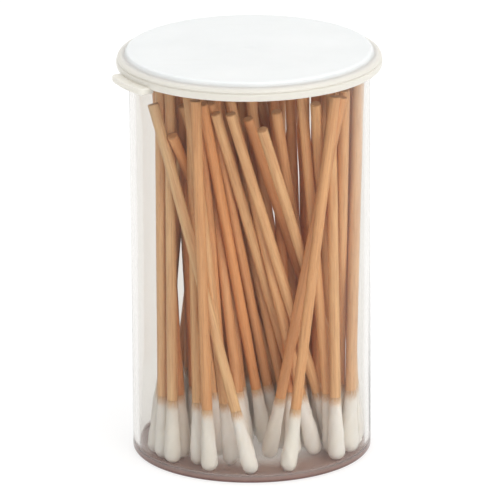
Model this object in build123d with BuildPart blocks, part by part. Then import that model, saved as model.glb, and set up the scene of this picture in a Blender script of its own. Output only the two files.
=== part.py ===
from build123d import *
import os
from math import cos, radians, sin, sqrt

# A clear round vial of wooden swab sticks with a white push-on cap.
# Millimetres, +Z up, origin at the centre of the vial's underside, -Y towards the viewer.

# ---- vial -----------------------------------------------------------------
vial_r = 23.8          # outside radius of the tube
vial_wall = 1.2        # wall thickness
floor_t = 1.2          # floor thickness
mouth_z = 81.5         # height of the mouth's edge
foot_round = 0.9       # rounding between the wall and the underside
corner_round = 0.5     # rounding inside, between the wall and the floor
bead_r = 24.8          # outside radius of the bead
bead_z = 80.35         # height of the bead's middle
bead_half = 0.55       # half the bead's height

# ---- cap ------------------------------------------------------------------
cap_top_z = 82.5       # top of the raised disc
disc_r = 24.25         # radius of the raised disc
rim_r = 26.2           # widest radius of the rim
rim_low_z = 79.1       # lower edge of the skirt
lip_r = 24.86          # the skirt's inner lip, just clear of the bead
recess_r = 25.06       # recess above the lip, where the bead sits
tab_r = 28.2           # outer radius of the lift tab
tab_from, tab_to = 196.0, 222.0   # where the tab sits round the rim, degrees from +X
tab_low_z = 78.25      # underside of the tab
tab_t = 1.3            # thickness of the tab

# ---- swabs ----------------------------------------------------------------
swab_length = 76.2     # overall length, tip end to stick end
stick_r = 1.05         # radius of the birch stick
stick_fit = 0.01       # clearance of the stick in the cotton
stick_start = 1.3      # the stick begins this far inside the tip
stick_break = 0.12     # broken edge at the stick's ends
tip_length = 12.9      # length of the wound cotton
tip_r = 1.75           # largest radius of the cotton
tip_belly = 2.2        # distance from the tip's end to its widest point
tip_neck_r = 1.16      # radius of the cotton where it ends on the stick

# Where each swab stands: the end of its tip (x, y, z), then how far its
# other end leans away from that in x and in y.
swabs = [
    (0.05, -21.02, 1.32, -18.62, 10.20),
    (7.00, -19.63, 1.27, 9.40, 5.74),
    (-8.34, -19.00, 1.25, -2.04, 0.45),
    (-15.47, -13.99, 1.25, -0.01, 4.65),
    (-10.45, -15.22, 1.25, -0.98, 4.39),
    (-3.98, -15.24, 1.26, -7.99, 1.92),
    (-17.35, -10.93, 1.25, 0.02, 2.70),
    (-13.65, -10.89, 1.25, -4.30, 5.72),
    (3.22, -11.45, 1.28, 14.47, -0.77),
    (8.21, -10.51, 1.27, -3.81, 12.27),
    (16.47, -12.82, 1.25, -0.72, 4.90),
    (-18.89, -7.85, 1.27, 6.81, 10.79),
    (-6.74, -10.25, 1.27, -6.65, 11.04),
    (-1.28, -7.65, 1.26, -8.24, -1.44),
    (12.52, -9.51, 1.29, -16.60, -0.06),
    (15.82, -9.21, 1.25, -5.78, -0.93),
    (19.05, -8.31, 1.25, 1.89, 3.45),
    (-13.55, -7.28, 1.25, -4.69, 4.26),
    (-8.72, -7.06, 1.26, -0.22, 9.60),
    (-4.98, -6.01, 1.26, -4.86, -6.84),
    (5.72, -6.03, 1.27, 11.45, 1.50),
    (10.98, -6.11, 1.27, -6.86, 10.10),
    (16.29, -5.21, 1.34, -20.01, -11.21),
    (20.05, -4.82, 1.25, -0.93, 1.48),
    (-17.74, -4.27, 1.25, 1.57, 6.83),
    (-14.31, -2.91, 1.26, -3.24, 8.05),
    (-11.01, -3.90, 1.25, -2.20, -3.04),
    (-7.25, -3.62, 1.26, -3.90, 9.89),
    (-3.97, -1.94, 1.26, -5.28, 6.96),
    (-1.25, -3.96, 1.26, -5.49, -5.32),
    (2.91, -3.50, 1.29, -11.96, -11.43),
    (8.56, -2.29, 1.29, -15.23, -3.40),
    (12.95, -3.00, 1.25, 0.15, 0.63),
    (17.33, -2.06, 1.26, 0.89, -8.17),
    (-17.44, -0.88, 1.28, 0.26, 13.81),
    (-13.96, 0.68, 1.26, -4.28, 6.52),
    (-8.99, -0.36, 1.26, -3.08, 8.65),
    (-5.80, 1.16, 1.26, -2.21, 9.10),
    (-2.07, 1.16, 1.26, -6.56, 5.96),
    (1.33, 1.18, 1.26, 8.29, 2.73),
    (5.22, -0.45, 1.30, -12.78, -12.75),
    (11.59, 0.50, 1.35, -18.18, -15.50),
    (15.99, 0.71, 1.43, -31.83, -5.09),
    (20.84, -1.24, 1.25, -3.62, -0.90),
    (-16.99, 2.84, 1.26, 3.02, 8.76),
    (-11.13, 2.92, 1.25, -3.13, 2.50),
    (-8.00, 4.49, 1.25, -2.20, 4.89),
    (4.65, 3.29, 1.25, -2.56, 4.01),
    (8.38, 1.79, 1.35, -21.37, -10.87),
    (16.79, 4.33, 1.31, -4.07, -18.08),
    (20.94, 3.58, 1.40, -18.57, -22.86),
    (-19.20, 5.81, 1.27, 8.11, 7.14),
    (-12.80, 5.94, 1.26, 1.50, 9.39),
    (-4.50, 4.69, 1.25, -0.53, 3.86),
    (-2.05, 7.40, 1.25, -3.81, 3.33),
    (-0.18, 4.69, 1.26, -1.40, -8.42),
    (2.29, 7.44, 1.27, -1.84, -12.63),
    (6.58, 6.25, 1.25, -0.50, 2.75),
    (9.93, 4.94, 1.29, -10.05, -12.20),
    (13.20, 4.74, 1.25, 1.18, -4.02),
    (20.03, 7.25, 1.39, -20.39, -20.21),
    (-18.66, 9.30, 1.27, 7.09, 8.16),
    (-12.58, 9.54, 1.26, 7.12, 7.65),
    (-9.33, 7.85, 1.25, 1.88, 4.68),
    (-5.72, 8.42, 1.25, 0.35, 4.77),
    (9.95, 8.50, 1.27, -2.00, -11.75),
    (14.74, 8.01, 1.25, 1.87, -7.30),
    (18.60, 10.19, 1.31, -17.46, -6.32),
    (-15.64, 11.60, 1.26, 8.65, 3.08),
    (-11.43, 12.99, 1.26, 5.56, 6.36),
    (-8.29, 11.26, 1.25, 4.06, 3.96),
    (-3.11, 10.99, 1.25, 1.09, -0.56),
    (0.88, 10.94, 1.27, -6.29, -8.92),
    (7.94, 11.24, 1.35, -18.34, -16.65),
    (11.00, 12.10, 1.29, -0.33, -16.52),
    (14.98, 12.62, 1.37, -9.85, -24.22),
    (-14.46, 15.03, 1.25, 6.65, 2.09),
    (-8.68, 15.42, 1.25, 7.26, -0.20),
    (-1.28, 14.07, 1.25, 3.01, -3.25),
    (2.73, 14.05, 1.27, -7.53, -9.86),
    (7.19, 15.30, 1.48, -22.20, -28.30),
    (10.74, 15.68, 1.37, -19.14, -18.88),
    (13.95, 15.63, 1.25, -4.43, -5.11),
    (-11.74, 17.25, 1.26, 9.56, 2.68),
    (-5.47, 17.11, 1.25, 5.10, 0.03),
    (-1.81, 17.64, 1.25, 1.68, -5.66),
    (1.71, 17.52, 1.26, 2.35, -9.34),
    (5.96, 18.61, 1.33, -9.55, -20.40),
    (9.34, 18.65, 1.25, -4.08, -1.25),
    (-4.14, 20.44, 1.25, 6.30, -1.77),
    (-0.42, 20.94, 1.25, 0.92, -6.77),
    (3.21, 20.53, 1.25, -2.40, 0.85),
]

swabs_per_group = 4

os.makedirs("parts", exist_ok=True)

# ---- vial: wall, flat floor and bead, turned in one piece ---------------
with BuildPart() as vial:
    with BuildSketch(Plane.XZ) as vial_section:
        with BuildLine():
            Polyline(
                (0, 0),
                (vial_r - foot_round, 0),
            )
            RadiusArc((vial_r - foot_round, 0), (vial_r, foot_round), -foot_round)
            Line((vial_r, foot_round), (vial_r, bead_z - bead_half - 0.35))
            Line((vial_r, bead_z - bead_half - 0.35), (bead_r - 0.3, bead_z - 0.25))
            ThreePointArc(
                (bead_r - 0.3, bead_z - 0.25),
                (bead_r, bead_z + 0.02),
                (bead_r - 0.28, bead_z + 0.3),
            )
            Line((bead_r - 0.28, bead_z + 0.3), (vial_r, bead_z + bead_half + 0.1))
            Line((vial_r, bead_z + bead_half + 0.1), (vial_r, mouth_z - 0.2))
            RadiusArc((vial_r, mouth_z - 0.2), (vial_r - 0.2, mouth_z), -0.2)
            Line((vial_r - 0.2, mouth_z), (vial_r - vial_wall + 0.25, mouth_z))
            RadiusArc(
                (vial_r - vial_wall + 0.25, mouth_z),
                (vial_r - vial_wall, mouth_z - 0.25),
                -0.25,
            )
            Line(
                (vial_r - vial_wall, mouth_z - 0.25),
                (vial_r - vial_wall, floor_t + corner_round),
            )
            RadiusArc(
                (vial_r - vial_wall, floor_t + corner_round),
                (vial_r - vial_wall - corner_round, floor_t),
                corner_round,
            )
            Line((vial_r - vial_wall - corner_round, floor_t), (0, floor_t))
            Line((0, floor_t), (0, 0))
        make_face()
    revolve(axis=Axis.Z)
vial.part.label = "vial"
export_step(vial.part, "parts/vial.step")

# ---- cap: raised disc, step, grooved rim, skirt with a lip, and the lift tab --
with BuildPart() as cap:
    with BuildSketch(Plane.XZ) as cap_section:
        with BuildLine():
            Line((0, cap_top_z), (disc_r - 0.45, cap_top_z))
            ThreePointArc(
                (disc_r - 0.45, cap_top_z),
                (disc_r - 0.13, cap_top_z - 0.13),
                (disc_r, cap_top_z - 0.42),
            )
            Line((disc_r, cap_top_z - 0.42), (disc_r + 0.06, 81.8))
            ThreePointArc((disc_r + 0.06, 81.8), (disc_r + 0.2, 81.6), (disc_r + 0.42, 81.56))
            Line((disc_r + 0.42, 81.56), (disc_r + 0.75, 81.56))
            ThreePointArc(
                (disc_r + 0.75, 81.56),
                (rim_r - 0.42, 81.32),
                (rim_r - 0.14, 80.86),
            )
            ThreePointArc(
                (rim_r - 0.14, 80.86),
                (rim_r - 0.28, 80.68),
                (rim_r - 0.08, 80.5),
            )
            ThreePointArc(
                (rim_r - 0.08, 80.5),
                (rim_r, 79.9),
                (rim_r - 0.05, 79.4),
            )
            ThreePointArc(
                (rim_r - 0.05, 79.4),
                (rim_r - 0.15, 79.19),
                (rim_r - 0.36, rim_low_z),
            )
            Line((rim_r - 0.36, rim_low_z), (lip_r + 0.2, rim_low_z))
            Line((lip_r + 0.2, rim_low_z), (lip_r, rim_low_z + 0.2))
            Line((lip_r, rim_low_z + 0.2), (lip_r, 79.62))
            Line((lip_r, 79.62), (recess_r, 79.9))
            Line((recess_r, 79.9), (recess_r, mouth_z - 0.55))
            ThreePointArc(
                (recess_r, mouth_z - 0.55),
                (recess_r - 0.16, mouth_z - 0.16),
                (recess_r - 0.55, mouth_z),
            )
            Line((recess_r - 0.55, mouth_z), (0, mouth_z))
            Line((0, mouth_z), (0, cap_top_z))
        make_face()
    revolve(axis=Axis.Z)
    with BuildSketch(Plane.XY.offset(tab_low_z)) as tab_outline:
        with BuildLine():
            a, b = radians(tab_from), radians(tab_to)
            m = (a + b) / 2
            r0 = lip_r + 0.25
            ThreePointArc(
                (tab_r * cos(a), tab_r * sin(a)),
                (tab_r * cos(m), tab_r * sin(m)),
                (tab_r * cos(b), tab_r * sin(b)),
            )
            Line((tab_r * cos(b), tab_r * sin(b)), (r0 * cos(b), r0 * sin(b)))
            ThreePointArc(
                (r0 * cos(b), r0 * sin(b)),
                (r0 * cos(m), r0 * sin(m)),
                (r0 * cos(a), r0 * sin(a)),
            )
            Line((r0 * cos(a), r0 * sin(a)), (tab_r * cos(a), tab_r * sin(a)))
        make_face()
        outer_corners = tab_outline.vertices().sort_by(
            lambda v: v.X * v.X + v.Y * v.Y
        )[-2:]
        fillet(outer_corners, radius=1.0)
    extrude(amount=tab_t)
cap.part.label = "cap"
export_step(cap.part, "parts/cap.step")

# ---- one stick and one cotton tip, upright, tip end at the origin --------------
with BuildPart() as stick:
    with BuildSketch(Plane.XY.offset(stick_start)):
        Circle(stick_r)
    extrude(amount=swab_length - stick_start)
    chamfer(stick.edges().filter_by(GeomType.CIRCLE), length=stick_break)

with BuildPart() as tip:
    with BuildSketch(Plane.XZ) as tip_section:
        with BuildLine():
            CenterArc((0, tip_r), tip_r, -90, 90)
            Line((tip_r, tip_r), (tip_r, tip_belly))
            ThreePointArc(
                (tip_r, tip_belly),
                (tip_r - 0.085, tip_belly + 0.25 * (tip_length - tip_belly)),
                (0.5 * (tip_r + tip_neck_r), tip_belly + 0.5 * (tip_length - tip_belly)),
            )
            ThreePointArc(
                (0.5 * (tip_r + tip_neck_r), tip_belly + 0.5 * (tip_length - tip_belly)),
                (tip_neck_r + 0.085, tip_belly + 0.75 * (tip_length - tip_belly)),
                (tip_neck_r, tip_length),
            )
            Line((tip_neck_r, tip_length), (stick_r + stick_fit, tip_length))
            Line(
                (stick_r + stick_fit, tip_length),
                (stick_r + stick_fit, stick_start - stick_fit),
            )
            Line((stick_r + stick_fit, stick_start - stick_fit), (0, stick_start - stick_fit))
            Line((0, stick_start - stick_fit), (0, 0))
        make_face()
    revolve(axis=Axis.Z)


def standing(foot_x, foot_y, foot_z, lean_x, lean_y):
    """The plane whose normal runs up the swab from the end of its tip."""
    rise = sqrt(swab_length**2 - lean_x**2 - lean_y**2)
    return Plane(origin=(foot_x, foot_y, foot_z), z_dir=(lean_x, lean_y, rise))


# ---- the swabs, four to a group ------------------------------------------------
for first in range(0, len(swabs), swabs_per_group):
    number = first // swabs_per_group + 1
    places = [standing(*row).location for row in swabs[first : first + swabs_per_group]]
    with BuildPart() as wood_sticks:
        with Locations(*places):
            add(stick.part)
    wood_sticks.part.label = f"wood_sticks_{number:02d}"
    export_step(wood_sticks.part, f"parts/wood_sticks_{number:02d}.step")
    with BuildPart() as cotton_tips:
        with Locations(*places):
            add(tip.part)
    cotton_tips.part.label = f"cotton_tips_{number:02d}"
    export_step(cotton_tips.part, f"parts/cotton_tips_{number:02d}.step")
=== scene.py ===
import math

import bpy
import numpy as np
from mathutils import Matrix, Vector


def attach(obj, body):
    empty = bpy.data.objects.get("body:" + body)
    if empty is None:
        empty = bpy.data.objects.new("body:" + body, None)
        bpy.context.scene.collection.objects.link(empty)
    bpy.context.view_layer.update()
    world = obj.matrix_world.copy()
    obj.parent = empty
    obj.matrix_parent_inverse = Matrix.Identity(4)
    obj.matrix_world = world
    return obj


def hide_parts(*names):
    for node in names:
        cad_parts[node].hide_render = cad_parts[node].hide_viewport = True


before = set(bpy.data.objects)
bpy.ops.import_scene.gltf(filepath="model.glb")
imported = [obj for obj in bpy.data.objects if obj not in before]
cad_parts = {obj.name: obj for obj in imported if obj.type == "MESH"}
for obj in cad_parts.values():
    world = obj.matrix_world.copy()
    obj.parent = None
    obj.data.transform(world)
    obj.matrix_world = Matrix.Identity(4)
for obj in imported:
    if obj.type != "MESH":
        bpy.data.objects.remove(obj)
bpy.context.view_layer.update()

MM = 0.001
rng = np.random.RandomState(20261)

# ------------------------------------------------------------------ dimensions (mm)
vial_r, vial_wall, floor_t, mouth_z = 23.8, 1.2, 1.2, 81.5
bead_r, bead_z, bead_half = 24.8, 80.35, 0.55
cap_top_z, disc_r, rim_r = 82.5, 24.25, 26.2
rim_low_z, lip_r, recess_r = 79.1, 24.86, 25.06
tab_r, tab_from, tab_to, tab_low_z, tab_t = 28.2, 196.0, 222.0, 78.25, 1.3
swab_length, stick_r, stick_start = 76.2, 1.05, 1.3
tip_length, tip_r, tip_belly, tip_neck_r = 12.9, 1.75, 2.2, 1.16

# Each swab: the end of its tip (x, y, z), then how far its other end leans in x and y.
swabs = [
    (0.05, -21.02, 1.32, -18.62, 10.20),
    (7.00, -19.63, 1.27, 9.40, 5.74),
    (-8.34, -19.00, 1.25, -2.04, 0.45),
    (-15.47, -13.99, 1.25, -0.01, 4.65),
    (-10.45, -15.22, 1.25, -0.98, 4.39),
    (-3.98, -15.24, 1.26, -7.99, 1.92),
    (-17.35, -10.93, 1.25, 0.02, 2.70),
    (-13.65, -10.89, 1.25, -4.30, 5.72),
    (3.22, -11.45, 1.28, 14.47, -0.77),
    (8.21, -10.51, 1.27, -3.81, 12.27),
    (16.47, -12.82, 1.25, -0.72, 4.90),
    (-18.89, -7.85, 1.27, 6.81, 10.79),
    (-6.74, -10.25, 1.27, -6.65, 11.04),
    (-1.28, -7.65, 1.26, -8.24, -1.44),
    (12.52, -9.51, 1.29, -16.60, -0.06),
    (15.82, -9.21, 1.25, -5.78, -0.93),
    (19.05, -8.31, 1.25, 1.89, 3.45),
    (-13.55, -7.28, 1.25, -4.69, 4.26),
    (-8.72, -7.06, 1.26, -0.22, 9.60),
    (-4.98, -6.01, 1.26, -4.86, -6.84),
    (5.72, -6.03, 1.27, 11.45, 1.50),
    (10.98, -6.11, 1.27, -6.86, 10.10),
    (16.29, -5.21, 1.34, -20.01, -11.21),
    (20.05, -4.82, 1.25, -0.93, 1.48),
    (-17.74, -4.27, 1.25, 1.57, 6.83),
    (-14.31, -2.91, 1.26, -3.24, 8.05),
    (-11.01, -3.90, 1.25, -2.20, -3.04),
    (-7.25, -3.62, 1.26, -3.90, 9.89),
    (-3.97, -1.94, 1.26, -5.28, 6.96),
    (-1.25, -3.96, 1.26, -5.49, -5.32),
    (2.91, -3.50, 1.29, -11.96, -11.43),
    (8.56, -2.29, 1.29, -15.23, -3.40),
    (12.95, -3.00, 1.25, 0.15, 0.63),
    (17.33, -2.06, 1.26, 0.89, -8.17),
    (-17.44, -0.88, 1.28, 0.26, 13.81),
    (-13.96, 0.68, 1.26, -4.28, 6.52),
    (-8.99, -0.36, 1.26, -3.08, 8.65),
    (-5.80, 1.16, 1.26, -2.21, 9.10),
    (-2.07, 1.16, 1.26, -6.56, 5.96),
    (1.33, 1.18, 1.26, 8.29, 2.73),
    (5.22, -0.45, 1.30, -12.78, -12.75),
    (11.59, 0.50, 1.35, -18.18, -15.50),
    (15.99, 0.71, 1.43, -31.83, -5.09),
    (20.84, -1.24, 1.25, -3.62, -0.90),
    (-16.99, 2.84, 1.26, 3.02, 8.76),
    (-11.13, 2.92, 1.25, -3.13, 2.50),
    (-8.00, 4.49, 1.25, -2.20, 4.89),
    (4.65, 3.29, 1.25, -2.56, 4.01),
    (8.38, 1.79, 1.35, -21.37, -10.87),
    (16.79, 4.33, 1.31, -4.07, -18.08),
    (20.94, 3.58, 1.40, -18.57, -22.86),
    (-19.20, 5.81, 1.27, 8.11, 7.14),
    (-12.80, 5.94, 1.26, 1.50, 9.39),
    (-4.50, 4.69, 1.25, -0.53, 3.86),
    (-2.05, 7.40, 1.25, -3.81, 3.33),
    (-0.18, 4.69, 1.26, -1.40, -8.42),
    (2.29, 7.44, 1.27, -1.84, -12.63),
    (6.58, 6.25, 1.25, -0.50, 2.75),
    (9.93, 4.94, 1.29, -10.05, -12.20),
    (13.20, 4.74, 1.25, 1.18, -4.02),
    (20.03, 7.25, 1.39, -20.39, -20.21),
    (-18.66, 9.30, 1.27, 7.09, 8.16),
    (-12.58, 9.54, 1.26, 7.12, 7.65),
    (-9.33, 7.85, 1.25, 1.88, 4.68),
    (-5.72, 8.42, 1.25, 0.35, 4.77),
    (9.95, 8.50, 1.27, -2.00, -11.75),
    (14.74, 8.01, 1.25, 1.87, -7.30),
    (18.60, 10.19, 1.31, -17.46, -6.32),
    (-15.64, 11.60, 1.26, 8.65, 3.08),
    (-11.43, 12.99, 1.26, 5.56, 6.36),
    (-8.29, 11.26, 1.25, 4.06, 3.96),
    (-3.11, 10.99, 1.25, 1.09, -0.56),
    (0.88, 10.94, 1.27, -6.29, -8.92),
    (7.94, 11.24, 1.35, -18.34, -16.65),
    (11.00, 12.10, 1.29, -0.33, -16.52),
    (14.98, 12.62, 1.37, -9.85, -24.22),
    (-14.46, 15.03, 1.25, 6.65, 2.09),
    (-8.68, 15.42, 1.25, 7.26, -0.20),
    (-1.28, 14.07, 1.25, 3.01, -3.25),
    (2.73, 14.05, 1.27, -7.53, -9.86),
    (7.19, 15.30, 1.48, -22.20, -28.30),
    (10.74, 15.68, 1.37, -19.14, -18.88),
    (13.95, 15.63, 1.25, -4.43, -5.11),
    (-11.74, 17.25, 1.26, 9.56, 2.68),
    (-5.47, 17.11, 1.25, 5.10, 0.03),
    (-1.81, 17.64, 1.25, 1.68, -5.66),
    (1.71, 17.52, 1.26, 2.35, -9.34),
    (5.96, 18.61, 1.33, -9.55, -20.40),
    (9.34, 18.65, 1.25, -4.08, -1.25),
    (-4.14, 20.44, 1.25, 6.30, -1.77),
    (-0.42, 20.94, 1.25, 0.92, -6.77),
    (3.21, 20.53, 1.25, -2.40, 0.85),
]


# ------------------------------------------------------------------ node helpers
def new_material(name):
    mat = bpy.data.materials.new(name)
    mat.use_nodes = True
    mat.node_tree.nodes.clear()
    return mat, mat.node_tree


def node(nt, kind, at=(0, 0), **values):
    n = nt.nodes.new(kind)
    n.location = at
    for key, value in values.items():
        setattr(n, key, value)
    return n


def link(nt, a, b):
    nt.links.new(a, b)


def math_node(nt, op, a, b=None, clamp=False, c=None):
    n = node(nt, "ShaderNodeMath", operation=op, use_clamp=clamp)
    for i, v in enumerate((a, b, c)):
        if v is None:
            continue
        if isinstance(v, (int, float)):
            n.inputs[i].default_value = v
        else:
            link(nt, v, n.inputs[i])
    return n.outputs[0]


def remap(nt, value, a, b, c, d, smooth=False):
    n = node(nt, "ShaderNodeMapRange", interpolation_type="SMOOTHSTEP" if smooth else "LINEAR")
    link(nt, value, n.inputs["Value"])
    n.inputs["From Min"].default_value = a
    n.inputs["From Max"].default_value = b
    n.inputs["To Min"].default_value = c
    n.inputs["To Max"].default_value = d
    return n.outputs["Result"]


def mix_colour(nt, fac, a, b, blend="MIX"):
    n = node(nt, "ShaderNodeMix", data_type="RGBA", blend_type=blend)
    for i, v in ((0, fac), (6, a), (7, b)):
        if isinstance(v, (int, float)):
            n.inputs[i].default_value = v
        elif isinstance(v, tuple):
            n.inputs[i].default_value = (*v, 1.0) if len(v) == 3 else v
        else:
            link(nt, v, n.inputs[i])
    return n.outputs[2]


def noise(nt, vector, scale, detail=3.0, rough=0.5, distortion=0.0):
    n = node(nt, "ShaderNodeTexNoise")
    link(nt, vector, n.inputs["Vector"])
    n.inputs["Scale"].default_value = scale
    n.inputs["Detail"].default_value = detail
    n.inputs["Roughness"].default_value = rough
    n.inputs["Distortion"].default_value = distortion
    return n.outputs["Fac"]


def stretched(nt, vector, scale):
    n = node(nt, "ShaderNodeMapping")
    link(nt, vector, n.inputs["Vector"])
    n.inputs["Scale"].default_value = scale
    return n.outputs["Vector"]


def attribute(nt, name):
    return node(nt, "ShaderNodeAttribute", attribute_name=name)


def bump(nt, height, strength, distance, normal=None):
    n = node(nt, "ShaderNodeBump")
    n.inputs["Strength"].default_value = strength
    n.inputs["Distance"].default_value = distance
    link(nt, height, n.inputs["Height"])
    if normal is not None:
        link(nt, normal, n.inputs["Normal"])
    return n.outputs["Normal"]


def srgb(r, g, b):
    def one(c):
        c /= 255.0
        return c / 12.92 if c <= 0.04045 else ((c + 0.055) / 1.055) ** 2.4
    return (one(r), one(g), one(b))


# ------------------------------------------------------------------ materials
def birch_material():
    mat, nt = new_material("birch")
    where = attribute(nt, "swab_place").outputs["Vector"]
    tone = attribute(nt, "swab_tone").outputs["Fac"]
    hue = attribute(nt, "swab_hue").outputs["Fac"]
    cut = attribute(nt, "swab_cut").outputs["Fac"]
    broad = noise(nt, stretched(nt, where, (0.9, 0.9, 0.05)), 1.3, 4.0, 0.6, 0.3)
    streak = noise(nt, stretched(nt, where, (3.2, 3.2, 0.07)), 1.9, 6.0, 0.62, 0.2)
    fine = noise(nt, stretched(nt, where, (11.0, 11.0, 0.35)), 1.6, 5.0, 0.7)
    fleck = noise(nt, stretched(nt, where, (4.4, 4.4, 0.75)), 1.5, 2.0, 0.5)
    light = srgb(240, 207, 157)
    mid = srgb(234, 162, 102)
    dark = srgb(190, 116, 64)
    base = mix_colour(nt, remap(nt, tone, 0.0, 1.0, 0.0, 1.0), mid, light)
    base = mix_colour(nt, remap(nt, hue, 0.0, 1.0, 0.0, 0.38), base, srgb(224, 142, 88))
    col = mix_colour(nt, remap(nt, broad, 0.35, 0.72, 0.0, 0.42, True), base, dark)
    col = mix_colour(nt, remap(nt, streak, 0.46, 0.68, 0.0, 0.38, True), col, srgb(165, 110, 68))
    col = mix_colour(nt, remap(nt, fine, 0.40, 0.75, 0.0, 0.22), col, srgb(238, 205, 160))
    col = mix_colour(nt, remap(nt, fleck, 0.66, 0.74, 0.0, 0.50, True), col, srgb(128, 78, 44))
    col = mix_colour(nt, math_node(nt, "MULTIPLY", cut, remap(nt, fine, 0.3, 0.7, 0.45, 0.85)), col, srgb(188, 134, 86))
    height = math_node(nt, "ADD", math_node(nt, "MULTIPLY", streak, 0.6), math_node(nt, "MULTIPLY", fine, 0.5))
    p = node(nt, "ShaderNodeBsdfPrincipled")
    link(nt, col, p.inputs["Base Color"])
    link(nt, remap(nt, fine, 0.25, 0.8, 0.36, 0.58), p.inputs["Roughness"])
    p.inputs["Specular IOR Level"].default_value = 0.5
    link(nt, bump(nt, height, 0.55, 0.00006), p.inputs["Normal"])
    out = node(nt, "ShaderNodeOutputMaterial")
    link(nt, p.outputs[0], out.inputs["Surface"])
    return mat


def cotton_material():
    mat, nt = new_material("cotton")
    wind = attribute(nt, "swab_place").outputs["Vector"]
    fade = attribute(nt, "swab_fade").outputs["Fac"]
    tone = attribute(nt, "swab_tone").outputs["Fac"]
    lay = noise(nt, stretched(nt, wind, (2.6, 2.6, 0.16)), 1.7, 5.0, 0.62, 0.35)
    strand = noise(nt, stretched(nt, wind, (9.5, 9.5, 0.55)), 1.8, 6.0, 0.68, 0.5)
    tuft = noise(nt, stretched(nt, wind, (1.0, 1.0, 0.8)), 1.1, 4.0, 0.6)
    white = mix_colour(nt, tone, srgb(250, 245, 238), srgb(253, 250, 246))
    col = mix_colour(nt, remap(nt, lay, 0.38, 0.70, 0.0, 0.40, True), white, srgb(244, 236, 226))
    col = mix_colour(nt, remap(nt, strand, 0.50, 0.74, 0.0, 0.30), col, srgb(238, 228, 216))
    col = mix_colour(nt, remap(nt, tuft, 0.40, 0.70, 0.0, 0.16, True), col, srgb(255, 253, 249))
    thin = math_node(nt, "ADD", fade, remap(nt, strand, 0.25, 0.80, -0.30, 0.30))
    thin = remap(nt, thin, 0.30, 0.95, 0.0, 0.88, True)
    col = mix_colour(nt, thin, col, srgb(212, 165, 116))
    height = math_node(nt, "ADD", math_node(nt, "MULTIPLY", lay, 0.7), math_node(nt, "MULTIPLY", strand, 0.55))
    p = node(nt, "ShaderNodeBsdfPrincipled")
    link(nt, col, p.inputs["Base Color"])
    link(nt, remap(nt, strand, 0.3, 0.8, 0.82, 1.0), p.inputs["Roughness"])
    p.inputs["Specular IOR Level"].default_value = 0.15
    p.inputs["Sheen Weight"].default_value = 0.25
    p.inputs["Sheen Roughness"].default_value = 0.6
    p.inputs["Subsurface Weight"].default_value = 0.55
    p.inputs["Subsurface Radius"].default_value = (1.0, 0.92, 0.84)
    p.inputs["Subsurface Scale"].default_value = 0.0018
    link(nt, bump(nt, height, 0.8, 0.00012), p.inputs["Normal"])
    out = node(nt, "ShaderNodeOutputMaterial")
    link(nt, p.outputs[0], out.inputs["Surface"])
    return mat


def clear_material():
    mat, nt = new_material("clear_styrene")
    place = node(nt, "ShaderNodeTexCoord").outputs["Object"]
    flow = noise(nt, stretched(nt, place, (70.0, 70.0, 9.0)), 1.0, 3.0, 0.5, 0.2)
    haze = noise(nt, stretched(nt, place, (240.0, 240.0, 60.0)), 1.0, 5.0, 0.6)
    scuff = noise(nt, stretched(nt, place, (900.0, 900.0, 160.0)), 1.0, 4.0, 0.7)
    p = node(nt, "ShaderNodeBsdfPrincipled")
    col = mix_colour(nt, remap(nt, haze, 0.3, 0.7, 0.0, 1.0), srgb(239, 237, 234), srgb(236, 234, 230))
    height = node(nt, "ShaderNodeSeparateXYZ")
    link(nt, place, height.inputs[0])
    across = node(nt, "ShaderNodeVectorMath", operation="LENGTH")
    link(nt, stretched(nt, place, (1.0, 1.0, 0.0)), across.inputs[0])
    # painted reflection and shade: the thick base's lower band is tinted a dull brownish pink and made partly opaque,
    # most strongly at the outer ring. This stands for the dark reflections and shade seen in the base
    ring = remap(nt, across.outputs["Value"], 0.0110, 0.0185, 0.25, 1.0, True)
    low = math_node(nt, "MULTIPLY", remap(nt, height.outputs["Z"], 0.0011, 0.0021, 1.0, 0.0, True), ring)
    # painted shade: a dark brownish line round the outer edge of the foot
    foot_painted_shade = math_node(nt, "MULTIPLY", remap(nt, height.outputs["Z"], 0.0003, 0.0011, 1.0, 0.0, True), remap(nt, across.outputs["Value"], 0.0226, 0.0233, 0.0, 1.0, True))
    col = mix_colour(nt, math_node(nt, "MULTIPLY", low, 0.95), col, srgb(172, 145, 137))
    col = mix_colour(nt, math_node(nt, "MULTIPLY", foot_painted_shade, 0.85), col, srgb(112, 76, 74))
    link(nt, col, p.inputs["Base Color"])
    link(nt, math_node(nt, "SUBTRACT", 1.0, math_node(nt, "MULTIPLY", low, remap(nt, haze, 0.3, 0.7, 0.42, 0.52))), p.inputs["Transmission Weight"])
    rough = math_node(nt, "ADD", remap(nt, haze, 0.35, 0.75, 0.012, 0.05), remap(nt, scuff, 0.62, 0.8, 0.0, 0.05))
    link(nt, rough, p.inputs["Roughness"])
    p.inputs["IOR"].default_value = 1.24
    link(nt, bump(nt, flow, 0.10, 0.0012), p.inputs["Normal"])
    clear = node(nt, "ShaderNodeBsdfTransparent")
    clear.inputs["Color"].default_value = (0.97, 0.965, 0.955, 1.0)
    path = node(nt, "ShaderNodeLightPath")
    mix = node(nt, "ShaderNodeMixShader")
    link(nt, path.outputs["Is Shadow Ray"], mix.inputs[0])
    link(nt, p.outputs[0], mix.inputs[1])
    link(nt, clear.outputs[0], mix.inputs[2])
    out = node(nt, "ShaderNodeOutputMaterial")
    link(nt, mix.outputs[0], out.inputs["Surface"])
    return mat


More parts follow.
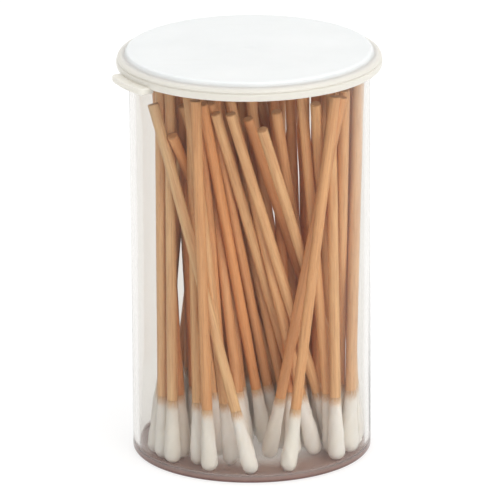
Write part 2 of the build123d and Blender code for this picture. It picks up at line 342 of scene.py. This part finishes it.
def cap_material():
    mat, nt = new_material("cap_polyethylene")
    place = node(nt, "ShaderNodeTexCoord").outputs["Object"]
    cloud = noise(nt, stretched(nt, place, (60.0, 60.0, 60.0)), 1.0, 4.0, 0.55)
    skin = noise(nt, stretched(nt, place, (1400.0, 1400.0, 1400.0)), 1.0, 3.0, 0.6)
    rings = node(nt, "ShaderNodeTexWave", wave_type="RINGS", rings_direction="Z", wave_profile="SIN")
    link(nt, place, rings.inputs["Vector"])
    rings.inputs["Scale"].default_value = 260.0
    rings.inputs["Distortion"].default_value = 1.2
    rings.inputs["Detail"].default_value = 3.0
    rings.inputs["Detail Scale"].default_value = 1.5
    scratch = noise(nt, stretched(nt, place, (35.0, 620.0, 300.0)), 1.0, 3.0, 0.6, 0.3)
    p = node(nt, "ShaderNodeBsdfPrincipled")
    # painted shade: below the top disc, the rim and its groove are mixed towards a darker beige. This stands for the
    # shade and warm bounce light on the cap's sides
    low = attribute(nt, "rim_painted_shade").outputs["Fac"]
    col = mix_colour(nt, remap(nt, cloud, 0.3, 0.7, 0.0, 1.0), srgb(226, 230, 231), srgb(221, 225, 226))
    col = mix_colour(nt, remap(nt, scratch, 0.66, 0.78, 0.0, 0.25), col, srgb(226, 226, 222))
    col = mix_colour(nt, math_node(nt, "MULTIPLY", low, 0.90), col, srgb(210, 206, 196))
    link(nt, col, p.inputs["Base Color"])
    rough = math_node(nt, "ADD", remap(nt, cloud, 0.3, 0.7, 0.30, 0.42), remap(nt, scratch, 0.6, 0.8, 0.0, 0.15))
    link(nt, rough, p.inputs["Roughness"])
    p.inputs["Specular IOR Level"].default_value = 0.45
    p.inputs["Subsurface Weight"].default_value = 0.6
    p.inputs["Subsurface Radius"].default_value = (1.0, 0.97, 0.92)
    p.inputs["Subsurface Scale"].default_value = 0.003
    turned = bump(nt, rings.outputs["Fac"], 0.05, 0.00006)
    link(nt, bump(nt, skin, 0.12, 0.00003, turned), p.inputs["Normal"])
    out = node(nt, "ShaderNodeOutputMaterial")
    link(nt, p.outputs[0], out.inputs["Surface"])
    return mat


# ------------------------------------------------------------------ mesh helpers
def build_mesh(name, verts, quads, tris=None, smooth=True, sharp=None):
    """A mesh from vertices in mm, quads (n,4) and triangles (m,3)."""
    me = bpy.data.meshes.new(name)
    verts = np.asarray(verts, float)
    quads = np.asarray(quads, np.int64).reshape(-1, 4)
    tris = np.zeros((0, 3), np.int64) if tris is None else np.asarray(tris, np.int64).reshape(-1, 3)
    me.vertices.add(len(verts))
    me.vertices.foreach_set("co", (verts * MM).ravel())
    loops = np.concatenate([quads.ravel(), tris.ravel()])
    me.loops.add(len(loops))
    me.loops.foreach_set("vertex_index", loops)
    count = len(quads) + len(tris)
    me.polygons.add(count)
    starts = np.concatenate([np.arange(len(quads)) * 4, len(quads) * 4 + np.arange(len(tris)) * 3])
    me.polygons.foreach_set("loop_start", starts)
    me.polygons.foreach_set("use_smooth", np.full(count, smooth))
    me.update(calc_edges=True)
    me.validate()
    if sharp is not None:
        me.set_sharp_from_angle(angle=math.radians(sharp))
    return me


def add_piece(name, me, mat, body, nodes):
    ob = bpy.data.objects.new(name, me)
    bpy.context.scene.collection.objects.link(ob)
    me.materials.append(mat)
    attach(ob, body)
    if nodes:
        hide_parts(*nodes)
    return ob


def float_layer(me, name, values):
    layer = me.attributes.new(name, "FLOAT", "POINT")
    layer.data.foreach_set("value", np.asarray(values, np.float32).ravel())


def vector_layer(me, name, values):
    layer = me.attributes.new(name, "FLOAT_VECTOR", "POINT")
    layer.data.foreach_set("vector", np.asarray(values, np.float32).ravel())


def arc(cx, cz, r, a0, a1, n):
    t = np.radians(np.linspace(a0, a1, n))
    return [(cx + r * math.cos(a), cz + r * math.sin(a)) for a in t]


def grid_quads(rows, cols, wrap=True, start=0):
    """Quads of a grid of rings (rows) by points round each ring (cols)."""
    i = np.arange(rows - 1)[:, None]
    j = np.arange(cols if wrap else cols - 1)[None, :]
    k = (j + 1) % cols
    a = start + i * cols + j
    b = start + i * cols + k
    c = start + (i + 1) * cols + k
    d = start + (i + 1) * cols + j
    return np.stack([a, b, c, d], -1).reshape(-1, 4)


# ------------------------------------------------------------------ vial
def make_vial():
    seg = 224
    prof = []
    prof += [(0.6, 0.34), (1.2, 0.30), (3.0, 0.30), (8.0, 0.30), (14.0, 0.29), (19.0, 0.27)]
    prof += [(21.0, 0.25), (21.35, 0.20), (21.6, 0.10), (21.85, 0.02), (22.1, 0.0), (22.5, 0.0), (22.9, 0.0)]
    prof += arc(22.9, 0.9, 0.9, -78, 0, 9)
    for z in np.linspace(3.0, 77.5, 30):
        prof.append((vial_r, z))
    low = bead_z - bead_half - 0.35
    prof += [(vial_r, low - 0.25), (vial_r, low)]
    prof += [(vial_r + 0.18, low + 0.12), (vial_r + 0.55, low + 0.5), (bead_r - 0.16, bead_z - 0.16)]
    prof += [(bead_r - 0.04, bead_z - 0.06), (bead_r, bead_z + 0.02), (bead_r - 0.05, bead_z + 0.14), (bead_r - 0.28, bead_z + 0.30)]
    prof += [(vial_r + 0.34, bead_z + 0.48), (vial_r + 0.05, bead_z + 0.64), (vial_r, bead_z + 0.75)]
    prof += [(vial_r, mouth_z - 0.2)] + arc(vial_r - 0.2, mouth_z - 0.2, 0.2, 15, 90, 5)
    inner = vial_r - vial_wall
    prof += [(vial_r - 0.6, mouth_z)] + arc(inner + 0.25, mouth_z - 0.25, 0.25, 90, 180, 6)
    for z in np.linspace(78.0, 4.0, 30):
        prof.append((inner, z))
    prof += [(inner, 2.4)] + arc(inner - 0.5, floor_t + 0.5, 0.5, 0, -90, 8)
    prof += [(21.0, floor_t), (18.0, floor_t), (12.0, floor_t), (6.0, floor_t), (1.5, floor_t)]
    prof = np.array(prof)
    # the lightest unevenness of a moulded wall: a few hundredths of a millimetre, inwards only
    n = len(prof)
    ang = np.linspace(0, 2 * np.pi, seg, endpoint=False)
    r = np.repeat(prof[:, :1], seg, 1)
    z = np.repeat(prof[:, 1:], seg, 1)
    on_outer = (prof[:, 0] == vial_r) & (prof[:, 1] > 2)
    on_inner = (np.abs(prof[:, 0] - inner) < 1e-6) & (prof[:, 1] > 2)
    wave = 0.014 * (np.sin(3 * ang)[None] * np.sin(z / 17.0 + 0.4) + 0.6 * np.sin(7 * ang + 1.3)[None] * np.sin(z / 9.0) - 1.6)
    r = r + np.where(on_outer[:, None], wave, 0) - np.where(on_inner[:, None], 0.5 * (wave + 0.0448) * 0.5, 0) * 0
    verts = np.stack([r * np.cos(ang), r * np.sin(ang), z], -1).reshape(-1, 3)
    quads = grid_quads(n, seg)
    bottom = len(verts)
    verts = np.vstack([verts, [[0, 0, 0.34], [0, 0, floor_t]]])
    j = np.arange(seg)
    k = (j + 1) % seg
    tris = np.concatenate([
        np.stack([np.full(seg, bottom), k, j], -1),
        np.stack([np.full(seg, bottom + 1), (n - 1) * seg + j, (n - 1) * seg + k], -1),
    ])
    me = build_mesh("vial_wall", verts, quads, tris, sharp=50)
    return add_piece("vial_wall", me, clear_material(), "vial", ["vial"])


# ------------------------------------------------------------------ cap
def make_cap():
    # angles: a fine even fan, with close pairs at the lift tab's sides
    mid_r = 27.0
    a0, a1 = math.radians(tab_from), math.radians(tab_to)
    steps = np.array([-0.35, -0.12, -0.02, 0.0, 0.03, 0.10, 0.22, 0.38, 0.58, 0.80, 1.0, 1.3]) / mid_r
    special = np.concatenate([a0 + steps, a1 - steps])
    even = np.linspace(0, 2 * np.pi, 240, endpoint=False)
    keep = np.array([min(abs(e - s) for s in special) > 0.004 and not (a0 - 0.016 < e < a0 + 0.05) and not (a1 - 0.05 < e < a1 + 0.016) for e in even])
    ang = np.sort(np.concatenate([even[keep], special]))
    seg = len(ang)
    s = np.minimum(ang - a0, a1 - ang) * mid_r  # distance inside the tab's sides, mm
    corner = 1.0
    ext = np.where(s > 0.0, 1.0, 0.0)
    edge = np.clip(s, 0, corner)
    reach = tab_r - corner + np.sqrt(np.clip(corner**2 - (corner - edge) ** 2, 0, None))
    side = np.clip(s / 0.12, 0, 1)  # rounding of the tab's side edges
    soft = 0.12 * (1 - np.sqrt(np.clip(1 - (1 - side) ** 2, 0, 1)))

    rows = []  # each row: (r array, z array)

    def row(r, z):
        rows.append((np.broadcast_to(np.asarray(r, float), (seg,)).copy(), np.broadcast_to(np.asarray(z, float), (seg,)).copy()))

    # top disc, centre outwards: a small gate dimple, then a barely crowned plate
    for r, z in [(0.35, 82.405), (0.8, 82.41), (1.05, 82.45), (1.3, 82.478), (2.2, 82.482), (5, 82.484), (9, 82.487), (13, 82.490), (17, 82.493), (20.0, 82.496), (22.2, 82.499), (23.2, 82.5), (23.55, 82.5)]:
        row(r, z)
    for r, z in arc(disc_r - 0.42, cap_top_z - 0.42, 0.42, 80, 4, 8):
        row(min(r, disc_r), z)
    row(disc_r + 0.03, 82.0)
    row(disc_r + 0.08, 81.90)
    for r, z in [(disc_r + 0.15, 81.80), (disc_r + 0.25, 81.70), (disc_r + 0.38, 81.62), (disc_r + 0.54, 81.575)]:
        row(r, z)
    for r, z in [(disc_r + 0.75, 81.56), (25.22, 81.54), (25.42, 81.48), (25.60, 81.40), (25.76, 81.29), (25.89, 81.15), (25.98, 81.0), (26.03, 80.88)]:
        row(r, z)
    for r, z in [(26.02, 80.80), (25.93, 80.74), (25.86, 80.68), (25.88, 80.61), (25.99, 80.55), (26.09, 80.48), (26.15, 80.38), (26.188, 80.22), (26.194, 80.0), (26.194, 79.82)]:
        row(r, z)
    # skirt's lower edge, or the lift tab in its angle
    plain = [(26.185, 79.66), (26.175, 79.60), (26.165, 79.54), (26.16, 79.48), (26.14, 79.40), (26.10, 79.30), (26.03, 79.20), (25.95, 79.13), (25.84, 79.10), (25.70, 79.10), (25.45, 79.10), (25.30, 79.10), (25.2, 79.1), (25.14, 79.1)]
    zt, zb, b = tab_low_z + tab_t, tab_low_z, 0.28
    for i, (pr, pz) in enumerate(plain):
        tab = [
            (26.19, zt + 0.05), (26.35, zt - soft * 0.4), (reach - b - 0.6, zt - soft), (reach - b, zt - soft),
            (reach - 0.3 * b, zt - 0.3 * b - soft * 0.5), (reach, zt - b), (reach, 0.5 * (zt + zb)), (reach, zb + b),
            (reach - 0.3 * b, zb + 0.3 * b + soft * 0.5), (reach - b, zb + soft), (26.2, zb + soft), (25.32, zb + soft), (25.14, zb + 0.14), (25.11, zb + 0.45),
        ][i]
        row(np.where(ext > 0, tab[0], pr), np.where(ext > 0, tab[1], pz))
    row(np.where(ext > 0, 25.11, 25.10), np.where(ext > 0, 79.02, 79.1))
    for r, z in [(25.06, 79.1), (24.95, 79.16), (lip_r, 79.3), (lip_r, 79.62), (24.95, 79.75), (recess_r, 79.9), (recess_r, 80.4), (recess_r, 80.95)]:
        row(r, z)
    for r, z in [(25.04, 81.15), (24.97, 81.28), (24.85, 81.39), (24.70, 81.46), (24.51, 81.5), (23.0, 81.5), (18.0, 81.5), (12.0, 81.5), (6.0, 81.5), (1.0, 81.5)]:
        row(r, z)
    R = np.array([a for a, _ in rows])
    Z = np.array([b for _, b in rows])
    n = len(rows)
    verts = np.stack([R * np.cos(ang), R * np.sin(ang), Z], -1).reshape(-1, 3)
    quads = grid_quads(n, seg)[:, ::-1]
    top = len(verts)
    verts = np.vstack([verts, [[0, 0, 82.40], [0, 0, 81.5]]])
    j = np.arange(seg)
    k = (j + 1) % seg
    tris = np.concatenate([
        np.stack([np.full(seg, top), j, k], -1),
        np.stack([np.full(seg, top + 1), (n - 1) * seg + k, (n - 1) * seg + j], -1),
    ])
    me = build_mesh("push_cap", verts, quads, tris, sharp=42)
    # painted shade mask: it grows downwards from the top and outwards past the disc's edge, so the rim's sides and
    # groove read darker
    rim_shade_mask = np.clip((82.35 - verts[:, 2]) / 0.95, 0, 1) * np.clip((np.hypot(verts[:, 0], verts[:, 1]) - 24.2) / 0.6, 0, 1)
    float_layer(me, "rim_painted_shade", rim_shade_mask)
    return add_piece("push_cap", me, cap_material(), "cap", ["cap"])


# ------------------------------------------------------------------ swabs
def swab_axes(row):
    x, y, z, lx, ly = row
    rise = math.sqrt(swab_length**2 - lx**2 - ly**2)
    up = np.array([lx, ly, rise]) / swab_length
    side = np.cross([0.0, 1.0, 0.0], up)
    side /= np.linalg.norm(side)
    return np.array([x, y, z]), side, np.cross(up, side), up


def to_world(local, frame3):
    o, u, v, w = frame3
    return o + local[:, :1] * u + local[:, 1:2] * v + local[:, 2:3] * w


def profile_radius(z):
    """The cotton tip's outline: round end, belly, long S-shaped taper to the stick."""
    z = np.asarray(z, float)
    r = np.empty_like(z)
    end = z < tip_r
    r[end] = np.sqrt(np.clip(tip_r**2 - (tip_r - z[end]) ** 2, 0, None))
    belly = (z >= tip_r) & (z <= tip_belly)
    r[belly] = tip_r
    t = np.clip((z - tip_belly) / (tip_length - tip_belly), 0, 1)
    s = 1 - (1 - np.cos(np.pi * np.clip(t, 0, 1))) / 2 * 0.62 - 0.38 * t
    tail = z > tip_belly
    r[tail] = tip_neck_r + (tip_r - tip_neck_r) * s[tail]
    return r


def stick_mesh(rows, first):
    """One mesh of the birch sticks of these swabs."""
    seg, V, Q, T, place, tone, hue, cut = 20, [], [], [], [], [], [], []
    zs = np.concatenate([[1.3, 1.42], np.linspace(6.0, 70.0, 20), [73.0, 75.2]])
    base = 0
    ang = np.linspace(0, 2 * np.pi, seg, endpoint=False)
    for i, row in enumerate(rows):
        r = np.random.RandomState(900 + first + i)
        fr = swab_axes(row)
        ph = r.uniform(0, 2 * np.pi, 8)
        ridge = 0.0055 * (np.sin(2 * ang + ph[0]) + 0.7 * np.sin(5 * ang + ph[1]) + 0.5 * np.sin(9 * ang + ph[2]) - 1.9)
        rings = []
        turn = r.uniform(-0.006, 0.006)
        for z in zs:
            a = ang + turn * z
            rad = stick_r * (1 + ridge + 0.003 * (math.sin(z / 7.0 + ph[3]) - 1) + 0.002 * np.sin(3 * ang + z / 4.0 + ph[4]))
            if z == 1.3:
                rad = rad - 0.12
            rings.append(np.stack([rad * np.cos(a), rad * np.sin(a), np.full(seg, z)], -1))
        # the cut end: a broken edge, then a slightly torn, slightly slanted face
        a = ang + turn * 76
        slope = r.uniform(0.0, 0.05)
        way = r.uniform(0, 2 * np.pi)
        full = stick_r * (1 + ridge)
        drop = lambda q: -slope * (1 - np.cos(a - way)) * q
        nick = 0.03 * np.abs(r.normal(0, 1, seg)).clip(0, 2)
        for rad, z in [(full * 0.999, 75.98 + drop(1) - nick), (full * 0.965, 76.10 + drop(1) - nick * 0.7), (full * 0.90, 76.165 + drop(0.9) - nick * 0.5), (full * 0.62, 76.19 + drop(0.6) - 0.02 * r.rand(seg)), (full * 0.3, 76.19 + drop(0.3) - 0.025 * r.rand(seg))]:
            rings.append(np.stack([rad * np.cos(a), rad * np.sin(a), np.broadcast_to(z, (seg,))], -1))
        local = np.vstack(rings)
        n = len(rings)
        local = np.vstack([local, [[0, 0, 1.3], [0, 0, 76.17 - slope * 0.5]]])
        V.append(to_world(local, fr))
        Q.append(grid_quads(n, seg, start=base))
        j = np.arange(seg)
        k = (j + 1) % seg
        T.append(np.stack([np.full(seg, base + n * seg), base + k, base + j], -1))
        T.append(np.stack([np.full(seg, base + n * seg + 1), base + (n - 1) * seg + j, base + (n - 1) * seg + k], -1))
        shift = r.uniform(-400, 400, 3)
        place.append(local + shift)
        m = len(local)
        tone.append(np.full(m, tones[first + i]))
        hue.append(np.full(m, hues[first + i]))
        c = np.zeros(m)
        c[(n - 4) * seg:n * seg] = 1
        c[-1] = 1
        cut.append(c)
        base += m
    me = build_mesh("sticks", np.vstack(V), np.vstack(Q), np.vstack(T), sharp=60)
    vector_layer(me, "swab_place", np.vstack(place))
    float_layer(me, "swab_tone", np.concatenate(tone))
    float_layer(me, "swab_hue", np.concatenate(hue))
    float_layer(me, "swab_cut", np.concatenate(cut))
    return me


def tip_surface(r, seg, zs):
    """The wound tip's rings in local mm, always inside the plain outline, with its twist for the lay of the fibres."""
    ang = np.linspace(0, 2 * np.pi, seg, endpoint=False)
    ph = r.uniform(0, 2 * np.pi, 12)
    twist = r.choice([-1, 1]) * r.uniform(0.35, 0.6)
    A, Z = np.meshgrid(ang, zs)
    lay = A + twist * Z
    rel = 0.030 * np.sin(3 * lay + ph[0] + 0.3 * np.sin(Z / 1.7 + ph[1])) + 0.022 * np.sin(5 * lay + ph[2] + 0.5 * np.sin(Z / 1.1)) + 0.014 * np.sin(9 * lay + ph[3] + Z * 0.8) + 0.010 * np.sin(14 * lay + ph[4] - Z * 1.1)
    lump = 0.035 * np.sin(A + ph[5] + Z * 0.25) + 0.03 * np.sin(Z * 0.9 + ph[6]) + 0.02 * np.sin(2 * A + ph[7] + Z * 0.5)
    base = profile_radius(zs)[:, None]
    fall = np.clip((tip_length - Z) / 4.0, 0.15, 1.0)
    rad = base * (1 + (rel * 0.8 + lump * 0.7 - 0.085) * fall * np.clip(Z / 0.8, 0.25, 1))
    rad = np.maximum(rad, 0.02)
    return A, Z, rad, twist


def tip_mesh(rows, first):
    """One mesh of the wound cotton tips of these swabs, each with loose fibres over it."""
    seg, V, Q, T, place, tone, fade = 28, [], [], [], [], [], []
    zs = np.concatenate([tip_r - tip_r * np.cos(np.radians([9, 20, 32, 44, 56, 68, 80])), np.linspace(1.9, 12.0, 24), [12.35, 12.65, 12.9]])
    base = 0
    for i, row in enumerate(rows):
        r = np.random.RandomState(4100 + first + i)
        fr = swab_axes(row)
        A, Z, rad, twist = tip_surface(r, seg, zs)
        neck = np.clip((Z - 11.2) / 1.7, 0, 1)
        rad = rad * (1 - neck) + (stick_r + 0.012 + (1 - neck) * 0.1) * neck
        local = np.stack([rad * np.cos(A), rad * np.sin(A), Z], -1).reshape(-1, 3)
        n = len(zs)
        close = np.stack([np.full(seg, stick_r - 0.06) * np.cos(A[0]), np.full(seg, stick_r - 0.06) * np.sin(A[0]), np.full(seg, 12.88)], -1)
        local = np.vstack([local, close, [[0, 0, 0.0]], [[0, 0, 12.88]]])
        quads = grid_quads(n + 1, seg, start=base)
        j = np.arange(seg)
        k = (j + 1) % seg
        tip = base + (n + 1) * seg
        V.append(to_world(local, fr))
        Q.append(quads)
        T.append(np.stack([np.full(seg, tip), base + k, base + j], -1))
        T.append(np.stack([np.full(seg, tip + 1), base + n * seg + j, base + n * seg + k], -1))
        ca, sa = np.cos(twist * local[:, 2]), np.sin(twist * local[:, 2])
        wound = np.stack([local[:, 0] * ca - local[:, 1] * sa, local[:, 0] * sa + local[:, 1] * ca, local[:, 2]], -1)
        shift = r.uniform(-400, 400, 3)
        place.append(wound + shift)
        m = len(local)
        tone.append(np.full(m, r.rand()))
        fade.append(np.clip((local[:, 2] - 9.4) / 3.4, 0, 1))
        base += m
        # loose fibres: fine ribbons that follow the winding and lift off a little in the middle
        count = 210
        u = r.rand(count)
        z0 = 0.35 + 12.2 * u ** 1.15
        a0 = r.uniform(0, 2 * np.pi, count)
        length = r.uniform(0.7, 2.2, count)
        pitch = np.arctan(1 / np.maximum(abs(twist) * profile_radius(z0), 0.2)) * np.sign(twist) * -1 + r.normal(0, 0.35, count)
        pitch = np.where(z0 > 9.5, np.sign(pitch) * (0.5 * np.pi - 0.25 * r.rand(count)), pitch)
        lift = np.abs(r.normal(0, 0.10, count)).clip(0.01, 0.30)
        wide = r.uniform(0.012, 0.022, count)
        steps = np.linspace(0, 1, 5)
        rr = profile_radius(z0)
        dz = length * np.sin(np.abs(pitch))
        da = np.sign(pitch + 1e-9) * length * np.cos(pitch) / np.maximum(rr, 0.5)
        P = []
        for t in steps:
            z = np.clip(z0 + dz * (t - 0.5), 0.03, 15.2)
            rz = np.where(z < tip_length, profile_radius(np.minimum(z, tip_length)) * 0.965, stick_r + 0.01)
            rz = np.maximum(rz, np.where(z > 11.0, stick_r + 0.015, 0.0))
            a = a0 + da * (t - 0.5) + 0.12 * np.sin(6 * t + a0 * 5)
            h = lift * np.sin(np.pi * (0.12 + 0.76 * t)) * np.where(z > 12.5, 0.3, 1.0)
            rad_t = rz + h - 0.01
            P.append(np.stack([rad_t * np.cos(a), rad_t * np.sin(a), z], -1))
        P = np.array(P)  # steps, count, 3
        tang = np.gradient(P, axis=0)
        outward = P * [1, 1, 0]
        outward /= np.maximum(np.linalg.norm(outward, axis=-1, keepdims=True), 1e-6)
        across = np.cross(tang, outward)
        across /= np.maximum(np.linalg.norm(across, axis=-1, keepdims=True), 1e-9)
        thin = np.array([0.35, 0.9, 1.0, 0.9, 0.3])[:, None, None]
        left = P + across * wide[None, :, None] * thin
        right = P - across * wide[None, :, None] * thin
        ribbon = np.stack([left, right], 2)  # steps, count, 2, 3
        flat = ribbon.reshape(-1, 3)
        world = to_world(flat, fr)
        # fibres keep off the vial's wall and floor
        rad_w = np.hypot(world[:, 0], world[:, 1])
        lim = vial_r - vial_wall - 0.04
        over = rad_w > lim
        world[over, :2] *= (lim / rad_w[over])[:, None]
        world[:, 2] = np.maximum(world[:, 2], floor_t + 0.02)
        idx = lambda st, c, s2: base + (st * count + c) * 2 + s2
        c = np.arange(count)
        for st in range(4):
            Q.append(np.stack([idx(st, c, 0), idx(st, c, 1), idx(st + 1, c, 1), idx(st + 1, c, 0)], -1))
        V.append(world)
        ca, sa = np.cos(twist * flat[:, 2]), np.sin(twist * flat[:, 2])
        place.append(np.stack([flat[:, 0] * ca - flat[:, 1] * sa, flat[:, 0] * sa + flat[:, 1] * ca, flat[:, 2]], -1) + shift)
        tone.append(np.full(len(flat), 0.9))
        fade.append(np.zeros(len(flat)))
        base += len(flat)
    me = build_mesh("tips", np.vstack(V), np.vstack(Q), np.vstack(T))
    vector_layer(me, "swab_place", np.vstack(place))
    float_layer(me, "swab_tone", np.concatenate(tone))
    float_layer(me, "swab_fade", np.concatenate(fade))
    return me


tones = rng.beta(2.2, 1.8, len(swabs))
hues = rng.beta(1.6, 2.0, len(swabs))


def make_swabs():
    birch, cotton = birch_material(), cotton_material()
    sticks = sorted(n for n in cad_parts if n.startswith("wood_sticks_"))
    tips = sorted(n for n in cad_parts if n.startswith("cotton_tips_"))
    per_node, nodes_each = 4, 6
    for g in range(0, len(sticks), nodes_each):
        first = g * per_node
        rows = swabs[first:(g + nodes_each) * per_node]
        number = g // nodes_each + 1
        add_piece(f"birch_sticks_{number}", stick_mesh(rows, first), birch, "vial", sticks[g:g + nodes_each])
        add_piece(f"cotton_{number}", tip_mesh(rows, first), cotton, "vial", tips[g:g + nodes_each])


# ------------------------------------------------------------------ studio
def make_floor():
    n = 25
    xs = np.linspace(-3000, 3000, n)
    X, Y = np.meshgrid(xs, xs)
    verts = np.stack([X, Y, np.full_like(X, -0.02)], -1).reshape(-1, 3)
    me = build_mesh("studio_floor", verts, grid_quads(n, n, wrap=False))
    mat, nt = new_material("studio_floor")
    place = node(nt, "ShaderNodeTexCoord").outputs["Object"]
    grain = noise(nt, place, 9.0, 4.0, 0.5)
    p = node(nt, "ShaderNodeBsdfPrincipled")
    link(nt, mix_colour(nt, grain, (0.37, 0.37, 0.37), (0.40, 0.40, 0.40)), p.inputs["Base Color"])
    link(nt, remap(nt, grain, 0.3, 0.7, 0.85, 0.95), p.inputs["Roughness"])
    p.inputs["Specular IOR Level"].default_value = 0.1
    p.inputs["Emission Color"].default_value = (1, 1, 1, 1)
    p.inputs["Emission Strength"].default_value = 0.65
    out = node(nt, "ShaderNodeOutputMaterial")
    link(nt, p.outputs[0], out.inputs["Surface"])
    ob = bpy.data.objects.new("studio_floor", me)
    bpy.context.scene.collection.objects.link(ob)
    me.materials.append(mat)


def area_light(name, at, to, size, power, colour=(1, 1, 1)):
    data = bpy.data.lights.new(name, "AREA")
    data.shape = "RECTANGLE"
    data.size, data.size_y = size
    data.energy = power
    data.color = colour
    ob = bpy.data.objects.new(name, data)
    bpy.context.scene.collection.objects.link(ob)
    ob.location = at
    ob.rotation_euler = (Vector(to) - Vector(at)).to_track_quat("-Z", "Y").to_euler()
    return ob


def make_studio():
    make_floor()
    world = bpy.data.worlds.new("studio")
    world.use_nodes = True
    nt = world.node_tree
    nt.nodes.clear()
    back = node(nt, "ShaderNodeBackground")
    back.inputs["Color"].default_value = (1.0, 0.995, 0.985, 1.0)
    back.inputs["Strength"].default_value = WORLD
    out = node(nt, "ShaderNodeOutputWorld")
    link(nt, back.outputs[0], out.inputs["Surface"])
    bpy.context.scene.world = world
    area_light("key", (0.75, -0.55, 1.05), (0, 0, 0.04), (0.9, 0.9), KEY, (1.0, 0.985, 0.96))
    area_light("top", (-0.1, 0.35, 1.5), (0, 0, 0.0), (1.4, 1.4), TOP)
    if FRONT:
        area_light("front", (0.55, -1.25, 0.46), (0, 0, 0.035), (0.8, 0.5), FRONT, (1.0, 0.98, 0.95))


def make_camera():
    """The photograph's camera: fitted to the ellipses of cap, rim and base."""
    c = Vector((0.0, -1.2735, 0.4488))
    f = (Vector((0, 0, 0.042)) - c).normalized()
    right = f.cross(Vector((0, 0, 1))).normalized()
    up = right.cross(f)
    roll = math.radians(-0.378)
    rr = right * math.cos(roll) + up * math.sin(roll)
    uu = -right * math.sin(roll) + up * math.cos(roll)
    aim = (f * 6739.8 + rr * (250 - 250.61) - uu * (250 - 244.13)).normalized()
    x = aim.cross(uu).normalized()
    y = x.cross(aim)
    data = bpy.data.cameras.new("photo_camera")
    data.sensor_width = 36.0
    data.lens = 36.0 * 6739.8 / 500.0
    data.clip_start, data.clip_end = 0.05, 50.0
    cam = bpy.data.objects.new("photo_camera", data)
    bpy.context.scene.collection.objects.link(cam)
    m = Matrix((x, y, -aim)).transposed().to_4x4()
    m.translation = c
    cam.matrix_world = m
    bpy.context.scene.camera = cam


WORLD, KEY, TOP, FRONT = 0.94, 3.8, 3.6, 3.6
make_camera()
make_studio()
make_vial()
make_cap()
make_swabs()

scene = bpy.context.scene
scene.view_settings.view_transform = "Standard"
scene.view_settings.look = "None"
scene.cycles.diffuse_bounces = 7
scene.cycles.transmission_bounces = 16
scene.cycles.max_bounces = 18

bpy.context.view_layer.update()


def plain(box):
    return [[float(v) for v in corner] for corner in box]
